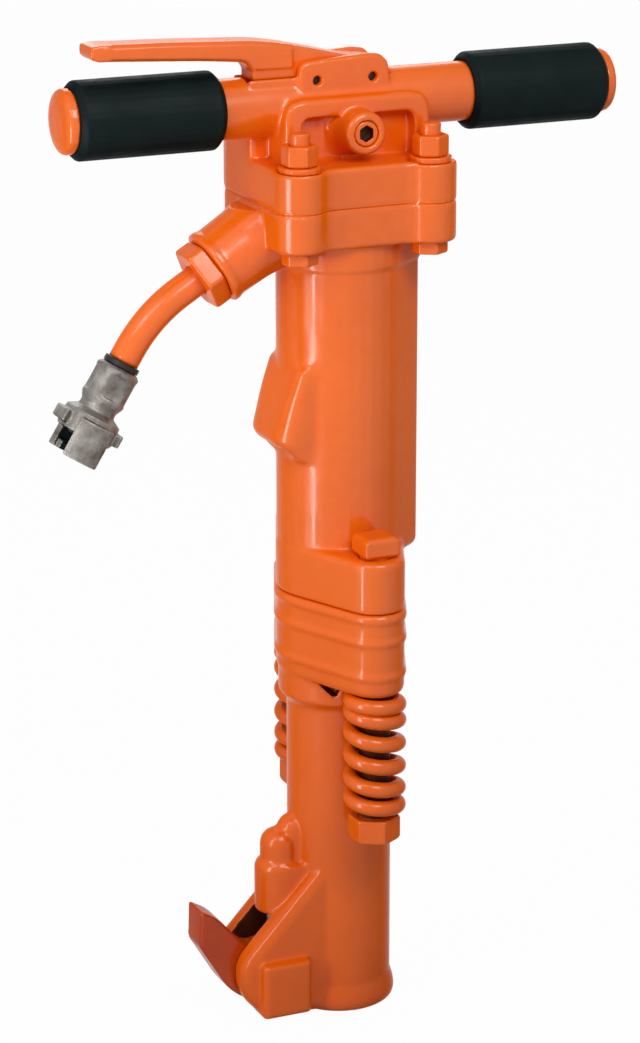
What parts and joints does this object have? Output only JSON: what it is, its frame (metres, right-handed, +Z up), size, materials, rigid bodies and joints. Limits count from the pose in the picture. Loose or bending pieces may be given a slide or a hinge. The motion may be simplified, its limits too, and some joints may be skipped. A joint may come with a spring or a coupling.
{
  "type": "pneumatic breaker",
  "caption": "Hand-held pneumatic breaker with T handle, throttle lever, bent air inlet pipe, sprung fronthead and foot latch for the tool shank.",
  "frame": {"origin": "on the tool axis, at the bottom ring of the fronthead on which the breaker stands", "axes": "+Z up along the tool axis, +X along the handle away from the throttle lever, -Y the side with the filler plug"},
  "size_m": [0.415, 0.1656, 0.705],
  "materials": {
    "orange_paint": "gloss",
    "grip_rubber": "satin",
    "gasket_rubber": "matte",
    "cast_iron": "cast",
    "machined_steel": "machined",
    "black_steel": "satin"
  },
  "bodies": {
    "housing": {"backhead": "orange_paint", "left_grip": "grip_rubber", "right_grip": "grip_rubber", "left_end_cap": "orange_paint", "right_end_cap": "orange_paint", "lever_pivot_pin": "black_steel", "lever_stop_pin": "black_steel", "throttle_valve_spring": "machined_steel", "throttle_valve_plug": "machined_steel", "oil_filler_plug": "orange_paint", "backhead_bolt_1": "orange_paint", "backhead_bolt_2": "orange_paint", "backhead_bolt_3": "orange_paint", "backhead_bolt_4": "orange_paint", "backhead_nut_1": "orange_paint", "backhead_nut_2": "orange_paint", "backhead_nut_3": "orange_paint", "backhead_nut_4": "orange_paint", "backhead_washer_1": "orange_paint", "backhead_washer_2": "orange_paint", "backhead_washer_3": "orange_paint", "backhead_washer_4": "orange_paint", "inlet_swivel_nut": "orange_paint", "cylinder": "orange_paint", "valve_chest_lower": "machined_steel", "valve_chest_upper": "machined_steel", "anvil_bushing": "machined_steel", "side_bolt_front": "orange_paint", "side_bolt_rear": "orange_paint", "side_spring_front": "orange_paint", "side_spring_rear": "orange_paint", "side_nut_front": "orange_paint", "side_nut_rear": "orange_paint"},
    "lever": {"throttle_lever": "orange_paint"},
    "valve": {"throttle_valve": "machined_steel"},
    "inlet": {"inlet_pipe": "orange_paint", "thread_ring": "black_steel", "hose_coupling": "cast_iron", "coupling_gasket": "gasket_rubber"},
    "valve_ring": {"distributing_valve": "machined_steel"},
    "hammer": {"piston": "machined_steel"},
    "front": {"fronthead": "orange_paint", "chuck_bushing": "machined_steel", "latch_pivot_pin": "machined_steel", "latch_plunger_spring": "machined_steel"},
    "tappet": {"anvil": "machined_steel"},
    "retainer": {"latch": "orange_paint"},
    "detent": {"latch_plunger": "machined_steel"}
  },
  "joints": [
    {"name": "throttle_lever_hinge", "type": "hinge", "parent": "housing", "child": "lever", "pos_m": [0.017, 0, 0.6725], "axis": [0, -1, 0], "range_deg": [0, 3.2], "stiffness_Nm_per_rad": 6, "springref_deg": -8.59},
    {"name": "throttle_valve_slide", "type": "slide", "parent": "housing", "child": "valve", "axis": [0, 0, -1], "range_m": [0, 0.0012], "deforming": ["throttle_valve_spring"]},
    {"name": "inlet_swivel", "type": "hinge", "parent": "housing", "child": "inlet", "pos_m": [-0.0945, 0, 0.5474], "axis": [-0.8572, 0, -0.515], "continuous": true},
    {"name": "distributing_valve_slide", "type": "slide", "parent": "housing", "child": "valve_ring", "axis": [0, 0, 1], "range_m": [0, 0.004]},
    {"name": "piston_stroke", "type": "slide", "parent": "housing", "child": "hammer", "axis": [0, 0, 1], "range_m": [0, 0.144]},
    {"name": "fronthead_recoil", "type": "slide", "parent": "housing", "child": "front", "axis": [0, 0, -1], "range_m": [0, 0.01], "stiffness_N_per_m": 60000, "springref_m": -0.01, "deforming": ["side_spring_front", "side_spring_rear"]},
    {"name": "anvil_travel", "type": "slide", "parent": "front", "child": "tappet", "axis": [0, 0, 1], "range_m": [0, 0.019]},
    {"name": "latch_hinge", "type": "hinge", "parent": "front", "child": "retainer", "pos_m": [-0.057, 0, 0.027], "axis": [0, -1, 0], "range_deg": [0, 30], "stiffness_Nm_per_rad": 3, "springref_deg": -17.19},
    {"name": "latch_plunger_slide", "type": "slide", "parent": "front", "child": "detent", "axis": [0, 0, 1], "range_m": [0, 0.0115], "deforming": ["latch_plunger_spring"]}
  ],
  "couplings": [
    {"joint": "throttle_valve_slide", "follows": "throttle_lever_hinge", "m_per_rad": 0.021},
    {"joint": "latch_plunger_slide", "follows": "latch_hinge", "m_per_rad": 0.0215}
  ]
}
